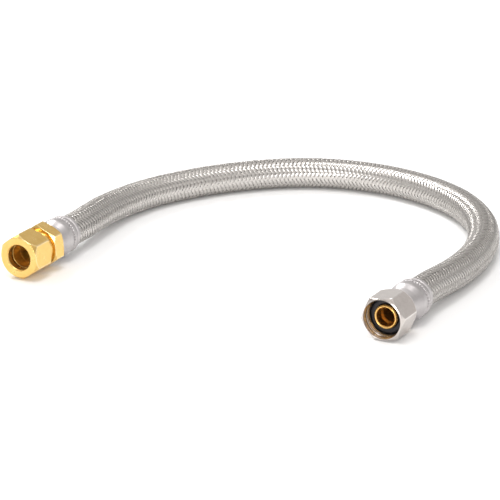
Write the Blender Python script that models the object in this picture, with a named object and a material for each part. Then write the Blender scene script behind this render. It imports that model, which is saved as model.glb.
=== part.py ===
"""Braided supply line, 16 in. long, with a 3/8 in. compression end and a 3/8 in. swivel end.

Frame: +Z up, the line lies on z = 0. Both end fittings point along -Y, the compression end at -X
and the swivel end at +X, and the hose runs between them in one open bend towards +Y.
The origin is under the middle of the two end fittings.
Every turned piece is drawn as a profile of (station, radius) pairs in millimetres: the station is
the distance from the nose of its own fitting along +Y, the radius is taken from the fitting's axis.
"""
import math

import bmesh
import bpy
from mathutils import Vector

MM = 0.001

# Driving dimensions, in millimetres.
HEX_ACROSS_FLATS = 15.875          # 5/8 in. spanner size of all three hexagons
HEX_ENVELOPE = 9.40                # turned radius just outside the hexagon's corners
CHAMFER_RADIUS = 7.85              # flat end face left inside a hexagon's chamfer
FEMALE_THREAD = 7.15               # thread bore of both nuts
MALE_THREAD = 6.85                 # thread of the compression body, with running clearance
TUBE_BORE = 4.90                   # takes a 9.5 mm tube
WATERWAY = 3.00                    # bore of both hose stems
STEM_NECK = 4.40
STEM_BARB = 4.10
STEM_VALLEY = 3.85
FERRULE_LENGTH = 13.40
FERRULE_RADIUS = 7.60
FERRULE_CRIMPED = 7.05
FERRULE_BORE = 6.40
FERRULE_WALL = 0.80
BRAID_RADIUS = 6.25                # outside of the hose
BRAID_WALL = 0.60
TUBE_RADIUS = 5.20                 # outside of the rubber tube inside the braid
TUBE_WALL = 0.65
GAP = 0.40                         # between pieces that touch on the real line

# Compression end: axis and stations.
AXIS_A = (-76.60, -17.50, 9.115)   # nose point
ROLL_A = 36.0                      # first corner of the hexagon, degrees above +X
NUT_A_LENGTH = 10.90
BODY_FRONT = 7.20
FLANGE_FRONT = 14.30
FLANGE_BACK = 20.40
SHOULDER_BACK = 21.25              # round shoulder between the flange and the ferrule
FERRULE_A = 21.60

# Swivel end: axis and stations.
AXIS_B = (75.60, -12.90, 8.500)
ROLL_B = 8.0
NUT_B_LENGTH = 13.00
NIPPLE_FRONT = 3.00
SEAL_FRONT = 4.60
COLLAR_FRONT = 8.00
COLLAR_BACK = 9.50
FERRULE_B = 16.40

# Route of the hose's centre between the two ferrules, in millimetres, with the resting height.
ROUTE = [
    (-76.6, 8.9, 9.115), (-76.6, 15.5, 9.115), (-76.6, 21.5, 9.1), (-76.8, 30.0, 9.0),
    (-77.9, 40.0, 8.7), (-79.1, 50.0, 8.2), (-79.7, 61.5, 7.4), (-78.9, 74.0, 6.8),
    (-76.2, 86.5, 6.45), (-71.2, 98.5, 6.3), (-64.0, 111.0, 6.3), (-55.0, 122.5, 6.3),
    (-44.8, 132.3, 6.3), (-33.4, 140.0, 6.3), (-20.6, 144.9, 6.3), (-6.8, 146.9, 6.3),
    (8.4, 145.9, 6.3), (24.4, 141.1, 6.3), (39.2, 132.9, 6.3), (50.6, 122.9, 6.3),
    (60.4, 110.5, 6.3), (68.4, 94.5, 6.3), (73.4, 77.1, 6.4), (75.6, 61.5, 6.7),
    (76.2, 47.5, 7.3), (76.0, 35.5, 8.0), (75.7, 28.5, 8.4), (75.6, 22.5, 8.5),
    (75.6, 17.0, 8.5), (75.6, 8.3, 8.5),
]
HOSE_POINTS = 60

TURNED_SIDES = 32
BAR_MARGIN = 4.0                   # length of the hexagonal bar past each end of its piece


def remove_everything():
    """Start from an empty scene."""
    for old in list(bpy.data.objects):
        bpy.data.objects.remove(old, do_unlink=True)


def material(name, colour, roughness, metallic):
    """A Principled material from a linear colour."""
    made = bpy.data.materials.new(name)
    made.use_nodes = True
    shader = made.node_tree.nodes["Principled BSDF"]
    shader.inputs["Base Color"].default_value = (*colour, 1.0)
    shader.inputs["Roughness"].default_value = roughness
    shader.inputs["Metallic"].default_value = metallic
    return made


def place(name, data, nose, finish):
    """Link an object whose origin is the nose point of its fitting, on the fitting's axis."""
    made = bpy.data.objects.new(name, data)
    made.location = Vector(nose) * MM
    bpy.context.scene.collection.objects.link(made)
    if finish:
        data.materials.append(finish)
    return made


def turned(name, profile, nose, finish):
    """Spin a closed profile of (station, radius) pairs once round the fitting's axis."""
    mesh = bpy.data.meshes.new(name)
    form = bmesh.new()
    ring = [form.verts.new((radius * MM, station * MM, 0.0)) for station, radius in profile]
    edges = [form.edges.new((ring[i - 1], ring[i])) for i in range(len(ring))]
    bmesh.ops.spin(
        form, geom=ring + edges, cent=(0, 0, 0), axis=(0, 1, 0),
        angle=2 * math.pi, steps=TURNED_SIDES, use_merge=True)
    bmesh.ops.remove_doubles(form, verts=form.verts, dist=1e-6)
    bmesh.ops.recalc_face_normals(form, faces=form.faces)
    form.to_mesh(mesh)
    form.free()
    mesh.shade_smooth()
    mesh.set_sharp_from_angle(angle=math.radians(30))
    return place(name, mesh, nose, finish)


def cut_to_hexagon(blank, nose, roll, length):
    """Keep only what lies inside a hexagonal bar along the fitting's axis."""
    mesh = bpy.data.meshes.new(blank.name + "_bar")
    form = bmesh.new()
    corner_radius = HEX_ACROSS_FLATS / math.sqrt(3)
    corners = []
    for k in range(6):
        angle = math.radians(roll + 60 * k)
        across, up = corner_radius * math.cos(angle), corner_radius * math.sin(angle)
        corners.append(form.verts.new((across * MM, -BAR_MARGIN * MM, up * MM)))
    end = form.faces.new(corners)
    grown = bmesh.ops.extrude_face_region(form, geom=[end])
    raised = [v for v in grown["geom"] if isinstance(v, bmesh.types.BMVert)]
    bmesh.ops.translate(form, vec=(0, (length + 2 * BAR_MARGIN) * MM, 0), verts=raised)
    bmesh.ops.recalc_face_normals(form, faces=form.faces)
    form.to_mesh(mesh)
    form.free()
    bar = place(blank.name + "_bar", mesh, nose, None)
    bar.hide_render = True
    bar.display_type = "WIRE"
    cut = blank.modifiers.new("hexagon", "BOOLEAN")
    cut.operation = "INTERSECT"
    cut.solver = "EXACT"
    cut.object = bar
    return blank


def barbed_stem(start, end):
    """Outline of a hose stem: shallow one-way barbs from start to end, ready for its bore."""
    pitch = 2.4
    outline = []
    station = start
    while station + pitch < end:
        outline.append((station, STEM_BARB))
        outline.append((station + pitch - 0.4, STEM_VALLEY))
        station += pitch
    outline.append((station, STEM_BARB))
    outline.append((end, STEM_VALLEY - 0.25))
    return outline


def compression_nut(finish):
    """Short hexagon nut: countersunk tube hole, 45 degree sleeve seat, female thread."""
    seat = 2.75
    profile = [
        (0.0, CHAMFER_RADIUS), (2.1, HEX_ENVELOPE),
        (NUT_A_LENGTH - 1.0, HEX_ENVELOPE), (NUT_A_LENGTH, CHAMFER_RADIUS + 0.3),
        (NUT_A_LENGTH, FEMALE_THREAD + 0.3), (NUT_A_LENGTH - 0.5, FEMALE_THREAD),
        (seat + FEMALE_THREAD - TUBE_BORE, FEMALE_THREAD), (seat, TUBE_BORE),
        (0.5, TUBE_BORE), (0.0, TUBE_BORE + 0.4),
    ]
    nut = turned("compression_nut", profile, AXIS_A, finish)
    return cut_to_hexagon(nut, AXIS_A, ROLL_A, NUT_A_LENGTH)


def compression_sleeve(finish):
    """Loose brass ring that the nut squeezes on to the tube, chamfered at both ends."""
    profile = [
        (3.7, TUBE_BORE - 0.1), (3.7, 5.20), (4.4, 5.75), (7.3, 5.75), (8.7, 5.05),
        (8.7, TUBE_BORE - 0.1),
    ]
    return turned("compression_sleeve", profile, AXIS_A, finish)


def compression_body(finish):
    """Male thread with a coned mouth and tube stop, hexagon flange and barbed hose stem."""
    tube_stop = 15.5
    stem_end = FERRULE_A + FERRULE_LENGTH - 1.2
    outer = [
        (BODY_FRONT, 6.20), (BODY_FRONT, 6.40), (BODY_FRONT + 0.6, MALE_THREAD),
        (FLANGE_FRONT - 1.0, MALE_THREAD), (FLANGE_FRONT - 0.7, 6.45), (FLANGE_FRONT, 6.45),
        (FLANGE_FRONT, CHAMFER_RADIUS), (FLANGE_FRONT + 1.0, HEX_ENVELOPE),
        (FLANGE_BACK - 1.0, HEX_ENVELOPE), (FLANGE_BACK, CHAMFER_RADIUS),
        (FLANGE_BACK, 6.00), (SHOULDER_BACK - 0.4, 6.00), (SHOULDER_BACK, 5.60),
        (SHOULDER_BACK, STEM_NECK), (FERRULE_A + FERRULE_WALL + 0.2, STEM_NECK),
    ]
    bore = [
        (stem_end, WATERWAY), (tube_stop + 0.6, WATERWAY), (tube_stop, WATERWAY + 0.8),
        (tube_stop, TUBE_BORE), (BODY_FRONT + 2.2, TUBE_BORE),
    ]
    stem = barbed_stem(FERRULE_A + FERRULE_WALL + 0.6, stem_end)
    body = turned("compression_body", outer + stem + bore, AXIS_A, finish)
    return cut_to_hexagon(body, AXIS_A, ROLL_A, stem_end)


def crimp_ferrule(name, nose, start, finish):
    """Pressed cup: domed shoulder, straight band, two crimped rings and a rolled rear lip."""
    end = start + FERRULE_LENGTH
    hole = STEM_NECK + 0.55
    outer = [
        (start, hole), (start, 5.45), (start + 0.5, 5.80), (start + 1.4, 6.10),
        (start + 2.4, 6.45), (start + 3.4, 6.95), (start + 4.4, 7.35),
        (start + 5.6, FERRULE_RADIUS), (start + 8.0, FERRULE_RADIUS),
        (start + 8.5, FERRULE_CRIMPED + 0.1), (start + 9.2, FERRULE_CRIMPED + 0.1),
        (start + 9.7, 7.35), (start + 10.3, 7.35), (start + 10.8, FERRULE_CRIMPED),
        (start + 11.5, FERRULE_CRIMPED), (start + 12.0, 7.25), (start + 12.8, 7.15), (end, 6.85),
    ]
    inner = [
        (end, FERRULE_BORE + 0.1), (end - 0.5, FERRULE_BORE), (start + 4.3, FERRULE_BORE),
        (start + 3.3, 5.90), (start + 2.0, 5.30), (start + FERRULE_WALL, 5.10),
        (start + FERRULE_WALL, hole),
    ]
    return turned(name, outer + inner, nose, finish)


def hose_layer(name, radius, wall, finish):
    """One hollow layer of the hose along the route: an open bevelled curve given its wall."""
    points = even_points(smooth_route(ROUTE), HOSE_POINTS)
    curve = bpy.data.curves.new(name, "CURVE")
    curve.dimensions = "3D"
    curve.bevel_depth = radius * MM
    curve.bevel_resolution = 4
    spline = curve.splines.new("POLY")
    spline.points.add(len(points) - 1)
    for place_on_line, point in zip(spline.points, points):
        place_on_line.co = (*(Vector(point) * MM), 1.0)
    layer = bpy.data.objects.new(name, curve)
    bpy.context.scene.collection.objects.link(layer)
    curve.materials.append(finish)
    thick = layer.modifiers.new("wall", "SOLIDIFY")
    thick.thickness = wall * MM
    thick.offset = -1.0
    thick.use_even_offset = True
    return layer


def smooth_route(route, steps=24):
    """Catmull-Rom curve through the route's points, each chord cut into equal parameters."""
    dots = [Vector(point) for point in route]
    dots = [2 * dots[0] - dots[1]] + dots + [2 * dots[-1] - dots[-2]]
    line = []
    for i in range(1, len(dots) - 2):
        before, a, b, after = dots[i - 1:i + 3]
        for k in range(steps):
            t = k / steps
            line.append(0.5 * (
                2 * a + (b - before) * t + (2 * before - 5 * a + 4 * b - after) * t ** 2
                + (3 * a - 3 * b + after - before) * t ** 3))
    line.append(dots[-2])
    return line


def even_points(line, count):
    """Points at equal distances along a fine polyline, its two ends included."""
    lengths = [0.0]
    for i in range(1, len(line)):
        lengths.append(lengths[-1] + (line[i] - line[i - 1]).length)
    points = []
    k = 0
    for i in range(count):
        wanted = lengths[-1] * i / (count - 1)
        while k < len(line) - 2 and lengths[k + 1] < wanted:
            k += 1
        share = (wanted - lengths[k]) / (lengths[k + 1] - lengths[k])
        points.append(line[k].lerp(line[k + 1], share))
    return points


def swivel_nut(finish):
    """Female-threaded hexagon nut: thin rim, chamfered back, inner shoulder that retains it."""
    profile = [
        (0.0, 7.70), (0.25, 7.95), (1.6, HEX_ENVELOPE), (10.2, HEX_ENVELOPE),
        (NUT_B_LENGTH, 7.80), (NUT_B_LENGTH, STEM_NECK + 0.55),
        (COLLAR_BACK + 1.4, STEM_NECK + 0.55), (COLLAR_BACK + 0.4, FEMALE_THREAD),
        (0.8, FEMALE_THREAD), (0.0, FEMALE_THREAD + 0.35),
    ]
    nut = turned("swivel_nut", profile, AXIS_B, finish)
    return cut_to_hexagon(nut, AXIS_B, ROLL_B, NUT_B_LENGTH)


def swivel_nipple(finish):
    """Brass insert: round nose with an open bore, collar that holds the nut, barbed stem."""
    stem_start = FERRULE_B + FERRULE_WALL + 0.6
    stem_end = FERRULE_B + FERRULE_LENGTH - 1.2
    outer = [
        (NIPPLE_FRONT + 0.25, 3.75), (NIPPLE_FRONT, 4.10), (NIPPLE_FRONT + 0.25, 4.50),
        (NIPPLE_FRONT + 0.7, 4.60), (COLLAR_FRONT, 4.60), (COLLAR_FRONT, 6.75),
        (COLLAR_BACK, 6.75), (COLLAR_BACK + 1.0, STEM_NECK), (stem_start - 0.4, STEM_NECK),
    ]
    bore = [(stem_end, WATERWAY), (COLLAR_FRONT, WATERWAY), (COLLAR_FRONT - 1.2, 3.55)]
    stem = barbed_stem(stem_start, stem_end)
    return turned("swivel_nipple", outer + stem + bore, AXIS_B, finish)


def cone_washer(finish):
    """Rubber seal round the nipple's nose, flat in front with a sloped outer edge."""
    profile = [
        (SEAL_FRONT, 4.90), (SEAL_FRONT, 6.30), (SEAL_FRONT + 0.8, 6.80),
        (COLLAR_FRONT - 0.3, 6.80), (COLLAR_FRONT - 0.3, 4.90),
    ]
    return turned("cone_washer", profile, AXIS_B, finish)


def main():
    remove_everything()
    brass = material("machined_brass", (0.77, 0.52, 0.17), 0.28, 1.0)
    nickel = material("nickel_plated_brass", (0.60, 0.54, 0.50), 0.30, 1.0)
    stainless = material("pressed_stainless", (0.45, 0.43, 0.42), 0.35, 1.0)
    braid = material("braided_stainless", (0.50, 0.48, 0.45), 0.40, 1.0)
    rubber = material("black_rubber", (0.012, 0.011, 0.012), 0.60, 0.0)

    compression_nut(brass)
    compression_sleeve(brass)
    compression_body(brass)
    crimp_ferrule("crimp_ferrule_a", AXIS_A, FERRULE_A, stainless)
    hose_layer("outer_braid", BRAID_RADIUS, BRAID_WALL, braid)
    hose_layer("inner_tube", TUBE_RADIUS, TUBE_WALL, rubber)
    crimp_ferrule("crimp_ferrule_b", AXIS_B, FERRULE_B, stainless)
    swivel_nipple(brass)
    cone_washer(rubber)
    swivel_nut(nickel)


main()
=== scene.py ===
"""Looks of a braided supply line: woven wire hose, crimped ferrules, brass and plated ends.

Everything is in metres in the model's own frame: +Z up, both fittings point along -Y. Outlines of
turned pieces are written in millimetres, as stations from the nose of their own fitting.
"""
import math

import bmesh
import bpy
import numpy as np
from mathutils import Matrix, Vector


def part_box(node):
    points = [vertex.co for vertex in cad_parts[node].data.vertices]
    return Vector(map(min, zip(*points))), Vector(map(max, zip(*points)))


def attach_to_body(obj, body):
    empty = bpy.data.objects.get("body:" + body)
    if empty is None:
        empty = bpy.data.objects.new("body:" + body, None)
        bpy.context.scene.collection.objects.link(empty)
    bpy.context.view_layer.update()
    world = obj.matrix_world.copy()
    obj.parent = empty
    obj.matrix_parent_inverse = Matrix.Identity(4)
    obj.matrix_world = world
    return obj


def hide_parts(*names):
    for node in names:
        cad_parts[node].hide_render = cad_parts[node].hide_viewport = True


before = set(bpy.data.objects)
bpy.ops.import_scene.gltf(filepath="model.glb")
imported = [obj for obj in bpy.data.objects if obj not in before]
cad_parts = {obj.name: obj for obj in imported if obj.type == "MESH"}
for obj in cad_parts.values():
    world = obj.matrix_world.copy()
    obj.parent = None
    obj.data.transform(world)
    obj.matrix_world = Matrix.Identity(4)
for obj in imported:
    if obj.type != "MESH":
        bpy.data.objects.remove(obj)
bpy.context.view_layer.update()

MM = 0.001


# ---------------------------------------------------------------- places taken from the frame

def middle(node):
    """Centre of a CAD node's box."""
    low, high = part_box(node)
    return [(a + b) / 2 for a, b in zip(low, high)]


def nose_of(nut, ring):
    """Nose point of a fitting: on the axis of its round ferrule, at the front of its nut."""
    axis = middle(ring)
    return np.array([axis[0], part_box(nut)[0][1], axis[2]])


NOSE_A = nose_of("compression_nut", "crimp_ferrule_a")
NOSE_B = nose_of("swivel_nut", "crimp_ferrule_b")


def station(node, nose, side):
    """Distance in millimetres from a nose to the front (0) or back (1) of a node's box."""
    return (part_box(node)[side][1] - nose[1]) / MM


# ---------------------------------------------------------------- driving sizes, in millimetres

HEX_FLATS = 15.875                 # across the flats of all three hexagons
HEX_ENVELOPE = 9.45                # just outside the hexagon's corners
ROLL_A = 36.0                      # first corner of each hexagon, degrees above +X
ROLL_B = 8.0
THREAD_PITCH = 25.4 / 24
THREAD_DEPTH = 0.62
FEMALE_DEPTH = 0.32                # height of the female threads' ridges
FEMALE_RADIUS = 6.95               # crests of the female threads
MALE_RADIUS = 7.00                 # crests of the male thread
TUBE_HOLE = 4.90
WATERWAY = 3.00                    # radius of the bore in both hose stems
STEM_NECK = 4.40                   # radius of both stems in front of their barbs
BARB_CREST = 4.10
BARB_VALLEY = 3.85
BARB_PITCH = 2.4
FLANGE_LENGTH = 6.1
HOSE_RADIUS = 6.25

ROUTE = [
    (-76.6, 8.9, 9.115), (-76.6, 15.5, 9.115), (-76.6, 21.5, 9.1), (-76.8, 30.0, 9.0),
    (-77.9, 40.0, 8.7), (-79.1, 50.0, 8.2), (-79.7, 61.5, 7.4), (-78.9, 74.0, 6.8),
    (-76.2, 86.5, 6.45), (-71.2, 98.5, 6.3), (-64.0, 111.0, 6.3), (-55.0, 122.5, 6.3),
    (-44.8, 132.3, 6.3), (-33.4, 140.0, 6.3), (-20.6, 144.9, 6.3), (-6.8, 146.9, 6.3),
    (8.4, 145.9, 6.3), (24.4, 141.1, 6.3), (39.2, 132.9, 6.3), (50.6, 122.9, 6.3),
    (60.4, 110.5, 6.3), (68.4, 94.5, 6.3), (73.4, 77.1, 6.4), (75.6, 61.5, 6.7),
    (76.2, 47.5, 7.3), (76.0, 35.5, 8.0), (75.7, 28.5, 8.4), (75.6, 22.5, 8.5),
    (75.6, 17.0, 8.5), (75.6, 8.3, 8.5),
]

CARRIERS = 12                      # strands laid each way round the hose
BRAID_LEAD = 22.4                  # length of hose in which a strand goes once round
WIRES = 7                          # fine wires side by side in a strand
STRANDS_IN_PIECE = 4
STRAND_ROWS = 64                   # cross sections of a strand in each lead
STRAND_WIDTH = 1.34
STRAND_HEIGHT = 0.30
WEAVE_RISE = 0.17                  # how far a strand rises and dips as it goes over and under

# ---------------------------------------------------------------- camera

AIM = (-0.0066, 0.0400, 0.00625)
DISTANCE = 1.186
AZIMUTH, ELEVATION = 28.0, 18.8
LENS = 219.2


def make_camera():
    """A long lens looking down at the resting line, as far to the right as AZIMUTH says."""
    data = bpy.data.cameras.new("camera")
    data.lens = LENS
    data.sensor_width = 36.0
    data.clip_start = 0.01
    data.clip_end = 50.0
    camera = bpy.data.objects.new("camera", data)
    turn, rise = math.radians(AZIMUTH), math.radians(ELEVATION)
    back = np.array([
        math.sin(turn) * math.cos(rise), -math.cos(turn) * math.cos(rise), math.sin(rise)])
    camera.location = np.array(AIM) + DISTANCE * back
    camera.rotation_euler = (math.pi / 2 - rise, 0, turn)
    bpy.context.scene.collection.objects.link(camera)
    bpy.context.scene.camera = camera


# ---------------------------------------------------------------- materials

def colour(code):
    """Linear RGBA of an sRGB hex value."""
    values = [int(code[i:i + 2], 16) / 255 for i in (1, 3, 5)]
    linear = [v / 12.92 if v <= 0.04045 else ((v + 0.055) / 1.055) ** 2.4 for v in values]
    return (*linear, 1.0)


def node(tree, kind, inputs=None, links=None, **settings):
    """Add a node, set its properties and input values, and feed inputs from other sockets."""
    made = tree.nodes.new(kind)
    for name, value in settings.items():
        setattr(made, name, value)
    for name, value in (inputs or {}).items():
        made.inputs[name].default_value = value
    for name, source in (links or {}).items():
        tree.links.new(source, made.inputs[name])
    return made


def finish(name, base, roughness, metallic=1.0):
    """A material with its Principled shader; the maker adds what feeds it."""
    made = bpy.data.materials.new(name)
    made.use_nodes = True
    shader = made.node_tree.nodes["Principled BSDF"]
    shader.inputs["Base Color"].default_value = colour(base)
    shader.inputs["Roughness"].default_value = roughness
    shader.inputs["Metallic"].default_value = metallic
    return made, made.node_tree, shader


def ramp(tree, source, stops):
    """A colour ramp from a value: stops are (position, hex colour)."""
    made = node(tree, "ShaderNodeValToRGB", links={"Fac": source})
    for i, (position, code) in enumerate(stops):
        stop = made.color_ramp.elements[i] if i < 2 else made.color_ramp.elements.new(position)
        stop.position = position
        stop.color = colour(code)
    return made.outputs["Color"]


def spread(tree, source, low, high):
    """Map 0..1 to low..high."""
    return node(
        tree, "ShaderNodeMapRange", {"To Min": low, "To Max": high},
        {"Value": source}).outputs["Result"]


def lathe_coordinates(tree, nose):
    """Place from the nose, (radius, station) about the axis, and radius, for marks round it."""
    where = node(tree, "ShaderNodeTexCoord").outputs["Object"]
    centred = node(
        tree, "ShaderNodeMapping", {"Location": (-nose[0], -nose[1], -nose[2])},
        {"Vector": where}).outputs["Vector"]
    parts = node(tree, "ShaderNodeSeparateXYZ", links={"Vector": centred})
    flat = node(
        tree, "ShaderNodeCombineXYZ", links={"X": parts.outputs["X"], "Y": parts.outputs["Z"]})
    radius = node(
        tree, "ShaderNodeVectorMath", links={0: flat.outputs["Vector"]}, operation="LENGTH")
    rings = node(
        tree, "ShaderNodeCombineXYZ",
        links={"X": radius.outputs["Value"], "Y": parts.outputs["Y"]})
    return centred, rings.outputs["Vector"], radius.outputs["Value"]


def machined_metal(name, nose, low, mid, high, roughness, marks_mm, marks_depth, drill_mm=0.0):
    """Bright bar stock: turned faces carry fine rings, the drawn flats fine lines along the bar.

    The attribute "turned" is 1 where the lathe cut and 0 on the bar's own flats, and "edge" is 1
    on corners, which handling polishes. Cloudy noise of about 4 mm stands for handling marks.
    Inside the drilled radius the drill left the wall rougher, so it scatters light back out.
    """
    made, tree, shader = finish(name, mid, roughness)
    centred, rings, radius = lathe_coordinates(tree, nose)
    turned_part = node(tree, "ShaderNodeAttribute", attribute_name="turned").outputs["Fac"]
    edge_part = node(tree, "ShaderNodeAttribute", attribute_name="edge").outputs["Fac"]
    cutter = node(
        tree, "ShaderNodeTexNoise", {"Scale": 1 / (marks_mm * MM), "Detail": 3.0},
        {"Vector": rings}, noise_dimensions="2D").outputs["Fac"]
    drawn_way = node(
        tree, "ShaderNodeMapping", {"Scale": (1.0, 0.02, 1.0)},
        {"Vector": centred}).outputs["Vector"]
    drawn = node(
        tree, "ShaderNodeTexNoise", {"Scale": 1 / (marks_mm * 1.6 * MM), "Detail": 4.0},
        {"Vector": drawn_way}).outputs["Fac"]
    marks = node(
        tree, "ShaderNodeMix", links={0: turned_part, 2: drawn, 3: cutter},
        data_type="FLOAT").outputs[0]
    cloud = node(
        tree, "ShaderNodeTexNoise", {"Scale": 1 / (4 * MM), "Detail": 5.0, "Roughness": 0.6},
        {"Vector": centred}).outputs["Fac"]
    tint = ramp(tree, cloud, [(0.3, low), (0.7, mid)])
    worn = node(
        tree, "ShaderNodeMix", links={0: edge_part, 6: tint}, data_type="RGBA")
    worn.inputs[7].default_value = colour(high)
    tree.links.new(worn.outputs[2], shader.inputs["Base Color"])
    patchy = spread(tree, cloud, roughness - 0.05, roughness + 0.07)
    drilled = node(
        tree, "ShaderNodeMapRange",
        {"From Min": (drill_mm + 0.05) * MM, "From Max": (drill_mm - 0.05) * MM, "To Max": 0.10},
        {"Value": radius}).outputs["Result"]
    total = node(tree, "ShaderNodeMath", links={0: patchy, 1: drilled}, operation="ADD")
    tree.links.new(total.outputs["Value"], shader.inputs["Roughness"])
    relief = node(
        tree, "ShaderNodeBump", {"Strength": 0.35, "Distance": marks_depth * MM},
        {"Height": marks})
    tree.links.new(relief.outputs["Normal"], shader.inputs["Normal"])
    return made


def pressed_stainless(nose):
    """Deep-drawn stainless cup: satin, faint draw lines along it and soft handling clouds."""
    return machined_metal(
        "pressed_stainless", nose, "#B4B0B0", "#C4C0C0", "#D8D5D4",
        roughness=0.42, marks_mm=0.22, marks_depth=0.010)


def stainless_wire():
    """Bright-drawn stainless wire: near-white, a little rougher and darker in patches."""
    made, tree, shader = finish("stainless_wire", "#C9C5C1", 0.26)
    where = node(tree, "ShaderNodeTexCoord").outputs["Object"]
    cloud = node(
        tree, "ShaderNodeTexNoise", {"Scale": 1 / (1.5 * MM), "Detail": 3.0},
        {"Vector": where}).outputs["Fac"]
    tree.links.new(spread(tree, cloud, 0.20, 0.36), shader.inputs["Roughness"])
    return made


def moulded_rubber(name, base, grain_mm):
    """EPDM rubber: near-black, matt, with the fine grain of its mould."""
    made, tree, shader = finish(name, base, 0.55, 0.0)
    where = node(tree, "ShaderNodeTexCoord").outputs["Object"]
    grain = node(
        tree, "ShaderNodeTexNoise", {"Scale": 1 / (grain_mm * MM), "Detail": 4.0},
        {"Vector": where}).outputs["Fac"]
    tree.links.new(
        ramp(tree, grain, [(0.3, "#0E0C10"), (0.75, "#2A262B")]), shader.inputs["Base Color"])
    tree.links.new(spread(tree, grain, 0.45, 0.65), shader.inputs["Roughness"])
    relief = node(
        tree, "ShaderNodeBump", {"Strength": 0.4, "Distance": 0.03 * MM}, {"Height": grain})
    tree.links.new(relief.outputs["Normal"], shader.inputs["Normal"])
    return made


# ---------------------------------------------------------------- mesh makers

def grid_mesh(name, points, material, closed_u=True, closed_v=True, marks=None):
    """A mesh from a (rows, columns, 3) array of points; a closed way joins last to first.

    Faces are quads wound so that row direction cross column direction points out.
    """
    rows, columns = points.shape[:2]
    u = np.arange(rows if closed_u else rows - 1)
    v = np.arange(columns if closed_v else columns - 1)
    u, v = np.meshgrid(u, v, indexing="ij")
    u2, v2 = (u + 1) % rows, (v + 1) % columns
    quads = np.stack(
        [u * columns + v, u2 * columns + v, u2 * columns + v2, u * columns + v2], -1)
    return mesh_from_quads(name, points.reshape(-1, 3), quads.reshape(-1, 4), material, marks)


def mesh_from_quads(name, points, quads, material, marks=None, ends=None):
    """Put arrays of points, quads and equal many-sided end faces into a smooth-shaded object."""
    data = bpy.data.meshes.new(name)
    data.vertices.add(len(points))
    data.vertices.foreach_set("co", np.asarray(points, np.float32).ravel())
    faces = [quads] if ends is None else [quads, ends]
    sides = np.concatenate([np.full(len(f), f.shape[1], np.int32) for f in faces])
    starts = np.concatenate([[0], np.cumsum(sides)[:-1]]).astype(np.int32)
    corners = np.concatenate([f.ravel() for f in faces]).astype(np.int32)
    data.loops.add(len(corners))
    data.loops.foreach_set("vertex_index", corners)
    data.polygons.add(len(sides))
    data.polygons.foreach_set("loop_start", starts)
    data.update(calc_edges=True)
    data.polygons.foreach_set("use_smooth", sides == 4)
    for label, values in (marks or {}).items():
        layer = data.attributes.new(label, "FLOAT", "POINT")
        layer.data.foreach_set("value", np.asarray(values, np.float32).ravel())
    data.materials.append(material)
    data.validate()
    made = bpy.data.objects.new(name, data)
    bpy.context.scene.collection.objects.link(made)
    return made


def rounded(outline, step):
    """Closed outline of (station, radius, fillet) corners as evenly stepped points.

    Each corner is replaced by the arc that touches both of its sides, as far as their lengths
    allow, and the straight stretches between are cut into steps.
    """
    corners = np.array([corner[:2] for corner in outline], float)
    fillets = [corner[2] for corner in outline]
    count = len(corners)
    bits = []
    for i in range(count):
        here = corners[i]
        before, after = corners[i - 1] - here, corners[(i + 1) % count] - here
        reach_before, reach_after = np.linalg.norm(before), np.linalg.norm(after)
        before, after = before / reach_before, after / reach_after
        half = math.acos(np.clip(before @ after, -1, 1)) / 2
        cut = min(fillets[i] / math.tan(half), 0.45 * reach_before, 0.45 * reach_after)
        start, end = here + before * cut, here + after * cut
        if half > math.radians(88) or cut < 1e-6:
            bits.append(here[None])
            continue
        centre = here + (before + after) / np.linalg.norm(before + after) * cut / math.cos(half)
        radius = cut * math.tan(half)
        sweep = math.pi - 2 * half
        steps = max(3, int(round(radius * sweep / (step * 0.5))))
        first = start - centre
        sign = np.sign(first[0] * (end - centre)[1] - first[1] * (end - centre)[0])
        turn = np.linspace(0, sweep, steps + 1) * sign
        arc = np.stack([
            first[0] * np.cos(turn) - first[1] * np.sin(turn),
            first[0] * np.sin(turn) + first[1] * np.cos(turn)], -1)
        bits.append(centre + arc)
    points = []
    for i, bit in enumerate(bits):
        points.append(bit)
        gap_end = bits[(i + 1) % count][0]
        reach = np.linalg.norm(gap_end - bit[-1])
        steps = int(reach / step)
        if steps > 1:
            share = np.arange(1, steps)[:, None] / steps
            points.append(bit[-1] * (1 - share) + gap_end * share)
    return np.concatenate(points)


def around(columns, roll, crowd=0.8):
    """Angles once round, crowded towards a hexagon's six corners."""
    even = np.arange(columns) * 2 * np.pi / columns
    return even - crowd * np.sin(6 * even) / 6 + math.radians(roll)


def hexagon_radius(angle, roll):
    """Distance to a hexagonal bar's surface: flats met by a high power mean, so corners are round."""
    flats = math.radians(roll + 30) + np.arange(6) * np.pi / 3
    lean = np.clip(np.cos(angle[..., None] - flats), 0, None)
    return HEX_FLATS / 2 / (lean ** 110).sum(-1) ** (1 / 110)


def thread_wave(stations, angles):
    """Height 0..1 of a right-hand screw thread: a rounded triangle wave along the helix."""
    phase = (stations / THREAD_PITCH + angles / (2 * np.pi)) % 1.0
    return 0.5 - 0.5 * np.cos(2 * np.pi * phase) * (1.15 - 0.15 * np.cos(2 * np.pi * phase) ** 2)


def window(stations, start, end, fade):
    """1 between start and end, falling smoothly to 0 over fade outside them."""
    rise = np.clip((stations - start) / fade + 1, 0, 1)
    fall = np.clip((end - stations) / fade + 1, 0, 1)
    blend = rise * fall
    return blend * blend * (3 - 2 * blend)


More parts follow.
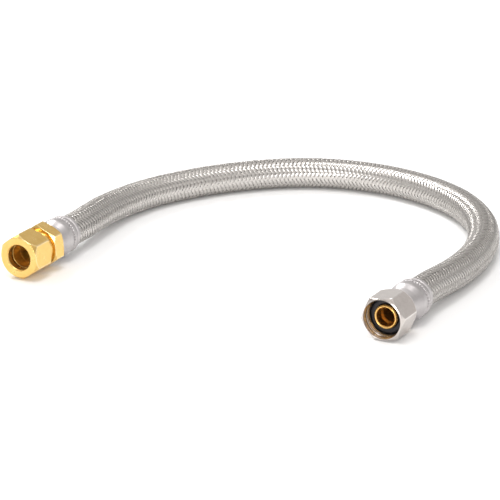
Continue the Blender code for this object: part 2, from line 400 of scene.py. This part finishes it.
def turned(name, outline, nose, material, step=0.16, columns=264, roll=0.0, hexagon=False,
           shape=None):
    """Turned piece: a closed rounded outline carried once round the fitting's axis.

    Where the piece is milled from hexagonal bar, the radius is the softer minimum of the turned
    radius and the bar's. shape(stations, radii, angles) may then change the radii, for threads
    and crimps.
    """
    profile = rounded(outline, step)
    angles = around(columns, roll, 0.8 if hexagon else 0.0)[None, :]
    stations = np.repeat(profile[:, :1], columns, 1)
    radii = np.repeat(profile[:, 1:], columns, 1)
    flat_share = np.zeros_like(radii)
    edge = np.zeros_like(radii)
    if hexagon:
        bar = hexagon_radius(np.repeat(angles, len(profile), 0), roll)
        soft = 0.05
        above = (radii - bar) / soft
        cut = radii - soft * np.logaddexp(0, above)
        flat_share = 1 / (1 + np.exp(-np.clip(above, -40, 40)))
        corner = np.exp(-((bar - HEX_FLATS / math.sqrt(3)) / 0.16) ** 2) * flat_share
        edge = np.clip(4 * flat_share * (1 - flat_share) + corner, 0, 1)
        radii = cut
    if shape:
        radii = shape(stations, radii, angles)
    x = nose[0] + radii * np.cos(angles) * MM
    y = nose[1] + stations * MM
    z = nose[2] + radii * np.sin(angles) * MM
    points = np.stack([x, y, z], -1)
    marks = {"turned": 1 - flat_share, "edge": edge}
    return grid_mesh(name, points, material, marks=marks)


# ---------------------------------------------------------------- fittings

def compression_nut(brass):
    """Short hexagon nut with a countersunk hole, a 45 degree sleeve seat and a female thread."""
    length = station("compression_nut", NOSE_A, 1)
    seat = 2.75
    outline = [
        (0.0, 7.85, 0.15), (2.1, HEX_ENVELOPE, 0.10), (length - 1.0, HEX_ENVELOPE, 0.10),
        (length, 8.15, 0.15), (length, 7.45, 0.08), (length - 0.5, FEMALE_RADIUS, 0.10),
        (seat + FEMALE_RADIUS - TUBE_HOLE, FEMALE_RADIUS, 0.10), (seat, TUBE_HOLE, 0.20),
        (0.55, TUBE_HOLE, 0.25), (0.0, 5.35, 0.12),
    ]

    def thread(stations, radii, angles):
        inner = window(stations, seat + 3.2, length - 0.9, 0.6)
        inner = inner * (radii < FEMALE_RADIUS + 0.05)
        return radii + FEMALE_DEPTH * inner * thread_wave(stations, angles)

    return turned(
        "hex_nut", outline, NOSE_A, brass, roll=ROLL_A, hexagon=True, shape=thread)


def compression_sleeve(brass):
    """Barrel-shaped sleeve ring with a chamfer at each end."""
    front, back = (station("compression_sleeve", NOSE_A, side) for side in (0, 1))
    outline = [
        (front, TUBE_HOLE - 0.1, 0.1), (front, 5.2, 0.15), (front + 0.7, 5.75, 0.2),
        (back - 1.4, 5.75, 0.4), (back, 5.05, 0.15), (back, TUBE_HOLE - 0.1, 0.1),
    ]
    return turned("sleeve_ring", outline, NOSE_A, brass, step=0.2, columns=128)


def barbs(outline, start, end):
    """Add shallow one-way barbs to an outline of a hose stem."""
    barb = start
    while barb < end:
        outline += [(barb - 0.4, BARB_VALLEY, 0.03), (barb, BARB_CREST, 0.05)]
        barb += BARB_PITCH


def compression_body(brass):
    """Male thread with a coned mouth, hexagon flange, round shoulder and barbed stem."""
    front, back = (station("compression_body", NOSE_A, side) for side in (0, 1))
    ferrule_front = station("crimp_ferrule_a", NOSE_A, 0)
    tube_stop = 15.5
    shoulder_back = ferrule_front - 0.35
    flange_back = ferrule_front - 1.2
    flange_front = flange_back - FLANGE_LENGTH
    outline = [
        (front, 6.2, 0.1), (front, 6.4, 0.1), (front + 0.6, MALE_RADIUS, 0.15),
        (flange_front - 1.1, MALE_RADIUS, 0.1), (flange_front - 0.7, 6.4, 0.15),
        (flange_front, 6.4, 0.15), (flange_front, 7.85, 0.15),
        (flange_front + 1.0, HEX_ENVELOPE, 0.1), (flange_back - 1.0, HEX_ENVELOPE, 0.1),
        (flange_back, 7.85, 0.15), (flange_back, 6.0, 0.2), (shoulder_back - 0.4, 6.0, 0.1),
        (shoulder_back, 5.6, 0.1), (shoulder_back, STEM_NECK, 0.15),
        (ferrule_front + 1.0, STEM_NECK, 0.1), (ferrule_front + 1.4, BARB_CREST, 0.05),
    ]
    barbs(outline, ferrule_front + 3.8, back - 1.0)
    outline += [
        (back, 3.6, 0.15), (back, WATERWAY, 0.1), (tube_stop + 0.6, WATERWAY, 0.1),
        (tube_stop, 3.8, 0.1), (tube_stop, TUBE_HOLE, 0.05), (front + 2.2, TUBE_HOLE, 0.1),
    ]

    def thread(stations, radii, angles):
        outer = window(stations, front + 0.9, flange_front - 1.4, 0.5)
        outer = outer * (radii > MALE_RADIUS - 0.05)
        outer = outer * (stations < flange_front - 0.9)
        return radii - THREAD_DEPTH * outer * (1 - thread_wave(stations, angles))

    return turned(
        "flange_body", outline, NOSE_A, brass, roll=ROLL_A, hexagon=True, shape=thread)


def crimp_ferrule(name, node_name, nose, steel, roll):
    """Deep-drawn cup: domed shoulder, straight band, toothed crimp, plain groove and lip.

    The first groove is pressed by a ring of small teeth, which leave short ribs standing in it.
    """
    start, end = (station(node_name, nose, side) for side in (0, 1))
    wall = 0.6
    outline = [
        (start, 4.95, 0.1), (start, 5.65, 0.3), (start + 2.4, 6.35, 1.5),
        (start + 4.9, 7.55, 2.5), (start + 7.5, 7.62, 1.0), (end - 1.2, 7.45, 1.0),
        (end - 0.1, 7.10, 0.4), (end, 6.65, 0.2), (end - 0.4, 6.40, 0.1),
        (start + 4.4, 6.42, 0.6), (start + 3.4, 5.85, 0.6), (start + 2.0, 5.3, 0.5),
        (start + wall, 5.15, 0.2), (start + wall, 4.95, 0.05),
    ]
    teeth = 40

    def crimps(stations, radii, angles):
        rib = (0.5 + 0.5 * np.cos(teeth * (angles - math.radians(roll)))) ** 2
        outer = (radii > 6.7) & (stations > start + 5.5)
        toothed = window(stations, end - 6.0, end - 4.9, 0.35)
        plain = window(stations, end - 3.1, end - 2.4, 0.45)
        depth = toothed * (0.55 - 0.42 * rib) + 0.45 * plain
        between = 0.12 * window(stations, end - 4.5, end - 3.5, 0.5)
        lip = 0.18 * window(stations, end - 1.6, end - 0.2, 0.5)
        return radii - outer * (depth + between + lip)

    return turned(name, outline, nose, steel, step=0.13, columns=400, roll=roll, shape=crimps)


def swivel_nut(nickel):
    """Plated hexagon nut: thin rounded rim, flats chamfered at the back, female thread."""
    length = station("swivel_nut", NOSE_B, 1)
    outline = [
        (0.0, 7.55, 0.10), (0.22, 7.95, 0.15), (1.6, HEX_ENVELOPE, 0.3),
        (length - 2.8, HEX_ENVELOPE, 0.6), (length - 0.1, 7.85, 0.15), (length, 7.6, 0.15),
        (length, 4.95, 0.15), (length - 2.1, 4.95, 0.15), (length - 3.1, 7.15, 0.15),
        (1.2, FEMALE_RADIUS, 0.12), (0.0, 7.50, 0.10),
    ]

    def thread(stations, radii, angles):
        inner = window(stations, 2.0, length - 4.3, 0.6)
        inner = inner * (radii < FEMALE_RADIUS + 0.25) * (radii > FEMALE_RADIUS - 0.2)
        return radii + FEMALE_DEPTH * inner * thread_wave(stations, angles)

    return turned(
        "swivel_hex_nut", outline, NOSE_B, nickel, roll=ROLL_B, hexagon=True, shape=thread)


def swivel_nipple(brass):
    """Brass insert: rolled nose round an open bore, collar behind the washer, barbed stem."""
    front, back = (station("swivel_nipple", NOSE_B, side) for side in (0, 1))
    ferrule_front = station("crimp_ferrule_b", NOSE_B, 0)
    collar = station("cone_washer", NOSE_B, 1) + 0.3
    outline = [
        (front + 0.35, 3.60, 0.3), (front, 3.95, 0.25), (front, 4.25, 0.25),
        (front + 0.45, 4.60, 0.35), (collar, 4.60, 0.1), (collar, 6.75, 0.15),
        (collar + 1.5, 6.75, 0.15), (collar + 2.5, STEM_NECK, 0.2),
        (ferrule_front + 1.0, STEM_NECK, 0.1), (ferrule_front + 1.4, BARB_CREST, 0.05),
    ]
    barbs(outline, ferrule_front + 3.8, back - 1.0)
    outline += [
        (back, 3.6, 0.15), (back, WATERWAY, 0.1), (collar, WATERWAY, 0.2),
        (collar - 1.2, 3.55, 0.2),
    ]
    return turned("nipple_insert", outline, NOSE_B, brass, columns=200)


def cone_washer(rubber):
    """Rubber seal round the nipple, flat in front with a sloped outer edge."""
    front, back = (station("cone_washer", NOSE_B, side) for side in (0, 1))
    outline = [
        (front + 0.1, 4.75, 0.1), (front, 5.1, 0.2), (front, 6.3, 0.3),
        (front + 0.8, 6.8, 0.3), (back, 6.8, 0.1), (back, 4.75, 0.05),
    ]
    return turned("rubber_cone_washer", outline, NOSE_B, rubber, columns=160)


# ---------------------------------------------------------------- hose

def smooth_route(route, steps=48):
    """Catmull-Rom curve through the route's points, in metres."""
    dots = np.array(route) * MM
    dots = np.vstack([2 * dots[0] - dots[1], dots, 2 * dots[-1] - dots[-2]])
    before, a, b, after = dots[:-3, None], dots[1:-2, None], dots[2:-1, None], dots[3:, None]
    t = (np.arange(steps) / steps)[None, :, None]
    line = 0.5 * (
        2 * a + (b - before) * t + (2 * before - 5 * a + 4 * b - after) * t ** 2
        + (3 * a - 3 * b + after - before) * t ** 3)
    return np.vstack([line.reshape(-1, 3), dots[-2]])


class Hose:
    """The hose's centre line as functions of the distance along it."""

    def __init__(self, line):
        self.run = np.concatenate([[0], np.cumsum(np.linalg.norm(np.diff(line, axis=0), axis=1))])
        self.line = line
        self.length = self.run[-1]

    def at(self, distance):
        """Points at these distances."""
        return np.stack([np.interp(distance, self.run, self.line[:, k]) for k in range(3)], -1)

    def frames(self, distance):
        """Points, tangents, level side vectors and upward vectors at these distances."""
        centre = self.at(distance)
        reach = 0.0015
        ahead = self.at(np.clip(distance + reach, 0, self.length))
        behind = self.at(np.clip(distance - reach, 0, self.length))
        along = ahead - behind
        along /= np.linalg.norm(along, axis=-1, keepdims=True)
        side = np.cross(along, [0.0, 0.0, 1.0])
        side /= np.linalg.norm(side, axis=-1, keepdims=True)
        return centre, along, side, np.cross(side, along)


def hose_core(hose, material):
    """What shows between the strands: a closed dark tube just under the braid."""
    rows, columns = 240, 48
    radius = (HOSE_RADIUS - 2 * WEAVE_RISE - STRAND_HEIGHT) * MM
    distance = np.linspace(0, hose.length, rows)
    centre, _, side, up = hose.frames(distance)
    angle = np.arange(columns) * 2 * np.pi / columns
    ring = np.cos(angle)[None, :, None] * side[:, None] + np.sin(angle)[None, :, None] * up[:, None]
    points = centre[:, None] + radius * ring
    points = np.concatenate([
        np.repeat(centre[:1, None], columns, 1), points, np.repeat(centre[-1:, None], columns, 1)])
    core = grid_mesh("hose_core", points, material, closed_u=False)
    merge_poles(core)
    return core


def merge_poles(piece):
    """Join the coincident points of a closed end."""
    form = bmesh.new()
    form.from_mesh(piece.data)
    bmesh.ops.remove_doubles(form, verts=form.verts, dist=1e-7)
    bmesh.ops.recalc_face_normals(form, faces=form.faces)
    form.to_mesh(piece.data)
    form.free()


def weave_height(angle, lead_way):
    """Rise of a strand as it goes round: over two, under two, as a squared-off cosine.

    With twelve strands each way, the strands of one way lie on top in six lengthwise stripes and
    those of the other way in the six between.
    """
    wave = np.cos(2 * np.pi * (CARRIERS * angle / np.pi - 0.5) / 4)
    return lead_way * np.tanh(2.0 * wave) / math.tanh(2.0)


def strand_section():
    """Across a strand: seven fine wires side by side on a rounded crown, flat below.

    Returns across and height in millimetres, anticlockwise seen along the strand.
    """
    wire = STRAND_WIDTH / WIRES
    across = np.linspace(-0.5, 0.5, 2 * WIRES + 1) * STRAND_WIDTH
    ridge = 0.5 - 0.5 * np.cos(2 * np.pi * (across + STRAND_WIDTH / 2) / wire)
    crown = np.sqrt(np.clip(1 - (1.9 * across / STRAND_WIDTH) ** 2, 0.05, 1))
    top = STRAND_HEIGHT * (crown * 0.80 - 0.50 + 0.20 * ridge)
    across = np.concatenate([across, [STRAND_WIDTH * 0.42, -STRAND_WIDTH * 0.42]])
    height = np.concatenate([top, [-STRAND_HEIGHT / 2, -STRAND_HEIGHT / 2]])
    return across, height


def braid_strands(hose, way, first, count, material, name):
    """Some strands of one way of the braid, in one mesh.

    A strand winds round the hose once in each lead. At each place its section stands on the
    hose's surface, square to the strand, raised or lowered by the weave.
    """
    inset = 0.0008
    rows = int((hose.length - 2 * inset) / (BRAID_LEAD * MM) * STRAND_ROWS)
    distance = np.linspace(inset, hose.length - inset, rows)
    centre, along, side, up = hose.frames(distance)
    across, height = strand_section()
    columns = len(across)
    middle_radius = HOSE_RADIUS - WEAVE_RISE - STRAND_HEIGHT * 0.5
    slope = math.atan2(2 * math.pi * middle_radius, BRAID_LEAD)
    shift_along = -across * math.sin(slope) * way * MM
    shift_round = across * math.cos(slope) / middle_radius
    u, v = np.meshgrid(np.arange(rows - 1), np.arange(columns), indexing="ij")
    v2 = (v + 1) % columns
    one = np.stack([
        u * columns + v, (u + 1) * columns + v, (u + 1) * columns + v2, u * columns + v2], -1)
    one = one.reshape(-1, 4)
    loop = np.arange(columns)
    caps = np.stack([loop, (rows - 1) * columns + loop[::-1]])
    points, quads, ends = [], [], []
    for k in range(first, first + count):
        start = 2 * math.pi * (k + (0.25 if way < 0 else 0.0)) / CARRIERS
        angle = start + way * 2 * math.pi * distance / (BRAID_LEAD * MM)
        rise = WEAVE_RISE * weave_height(angle, way)
        turn = angle[:, None] + shift_round[None, :]
        radius = (middle_radius + rise[:, None] + height[None, :]) * MM
        out = np.cos(turn)[..., None] * side[:, None] + np.sin(turn)[..., None] * up[:, None]
        body = centre[:, None] + radius[..., None] * out
        body = body + shift_along[None, :, None] * along[:, None]
        base = rows * columns * (k - first)
        points.append(body.reshape(-1, 3))
        quads.append(one + base)
        ends.append(caps + base)
    return mesh_from_quads(
        name, np.concatenate(points), np.concatenate(quads), material,
        ends=np.concatenate(ends))


# ---------------------------------------------------------------- studio

def area_light(name, place, aim, size, power):
    """A white rectangular softbox at a place, facing a point."""
    data = bpy.data.lights.new(name, "AREA")
    data.shape = "RECTANGLE"
    data.size, data.size_y = size
    data.energy = power
    lamp = bpy.data.objects.new(name, data)
    lamp.location = place
    gaze = np.array(aim) - np.array(place)
    gaze = gaze / np.linalg.norm(gaze)
    lamp.rotation_euler = (
        math.acos(-gaze[2]), 0.0, math.atan2(gaze[0], -gaze[1]) + math.pi)
    bpy.context.scene.collection.objects.link(lamp)


def studio():
    """Pale floor, a soft sky with a darker band for the metal to reflect, and softboxes."""
    scene = bpy.context.scene
    scene.view_settings.view_transform = "Standard"
    floor_material, tree, shader = finish("pale_floor_paper", "#F7F7F7", 0.9, 0.0)
    bpy.ops.mesh.primitive_circle_add(vertices=128, radius=6.0, fill_type="NGON")
    floor = bpy.context.object
    floor.name = "floor"
    floor.data.materials.append(floor_material)
    world = bpy.data.worlds.new("studio")
    scene.world = world
    world.use_nodes = True
    tree = world.node_tree
    background = tree.nodes["Background"]
    where = node(tree, "ShaderNodeTexCoord").outputs["Generated"]
    height = node(tree, "ShaderNodeSeparateXYZ", links={"Vector": where}).outputs["Z"]
    sky = ramp(tree, height, [
        (0.0, "#FFFFFF"), (0.25, "#F6F5F4"), (0.40, "#C0BEBC"), (0.52, "#C8C6C4"),
        (0.64, "#F0EEEC"), (1.0, "#E6E4E2")])
    tree.links.new(sky, background.inputs["Color"])
    background.inputs["Strength"].default_value = 1.0
    area_light("key_softbox", (-0.9, 0.35, 0.95), (0, 0.05, 0), (0.5, 0.3), 9.0)
    area_light("top_softbox", (0.15, -0.2, 1.4), (0, 0.05, 0), (0.5, 0.5), 6.0)
    area_light("front_softbox", (0.5, -1.5, 0.5), (0, 0.0, 0), (0.7, 0.5), 13.0)


# ---------------------------------------------------------------- assembly

def attach(piece, body, slot, *nodes):
    """Put a piece on its body and let it stand for CAD nodes, which are hidden; slot, the name of its
    finish, is not used.
    """
    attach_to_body(piece, body)
    if nodes:
        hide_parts(*nodes)


def main():
    """Camera and hose first, then the fittings on their bodies, then the studio."""
    make_camera()
    hose = Hose(smooth_route(ROUTE))
    gap_dark = moulded_rubber("hose_rubber", "#1A171A", 0.4)
    wire = stainless_wire()
    core = hose_core(hose, gap_dark)
    attach(core, "line", "black_rubber")
    for way, label in ((1, "right"), (-1, "left")):
        for first in range(0, CARRIERS, STRANDS_IN_PIECE):
            strand = braid_strands(
                hose, way, first, STRANDS_IN_PIECE, wire,
                f"braid_{label}_{first // STRANDS_IN_PIECE + 1}")
            attach(strand, "line", "braided_stainless", "outer_braid")

    brass_a = machined_metal(
        "machined_brass", NOSE_A, "#E0B96A", "#EAC67C", "#F8E2B0",
        roughness=0.25, marks_mm=0.16, marks_depth=0.012, drill_mm=5.2)
    brass_b = machined_metal(
        "turned_brass", NOSE_B, "#E2B262", "#EBC078", "#F7DEA8",
        roughness=0.22, marks_mm=0.12, marks_depth=0.010, drill_mm=3.9)
    nickel = machined_metal(
        "nickel_plate", NOSE_B, "#C4BCB7", "#D0C9C4", "#EDE8E4",
        roughness=0.20, marks_mm=0.20, marks_depth=0.008)
    steel_a = pressed_stainless(NOSE_A)
    steel_b = pressed_stainless(NOSE_B)
    washer_rubber = moulded_rubber("washer_rubber", "#17141A", 0.25)

    attach(compression_nut(brass_a), "nut", "machined_brass", "compression_nut")
    attach(compression_sleeve(brass_a), "sleeve", "machined_brass", "compression_sleeve")
    attach(compression_body(brass_a), "line", "machined_brass", "compression_body")
    attach(
        crimp_ferrule("pressed_ferrule_a", "crimp_ferrule_a", NOSE_A, steel_a, 14.0),
        "line", "pressed_stainless", "crimp_ferrule_a")
    attach(
        crimp_ferrule("pressed_ferrule_b", "crimp_ferrule_b", NOSE_B, steel_b, 31.0),
        "line", "pressed_stainless", "crimp_ferrule_b")
    attach(swivel_nut(nickel), "swivel", "nickel_plated_brass", "swivel_nut")
    attach(swivel_nipple(brass_b), "line", "machined_brass", "swivel_nipple")
    attach(cone_washer(washer_rubber), "line", "black_rubber", "cone_washer")
    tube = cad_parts["inner_tube"]
    tube.data.materials.clear()
    tube.data.materials.append(moulded_rubber("inner_tube_rubber", "#1A171A", 0.4))
    studio()


main()
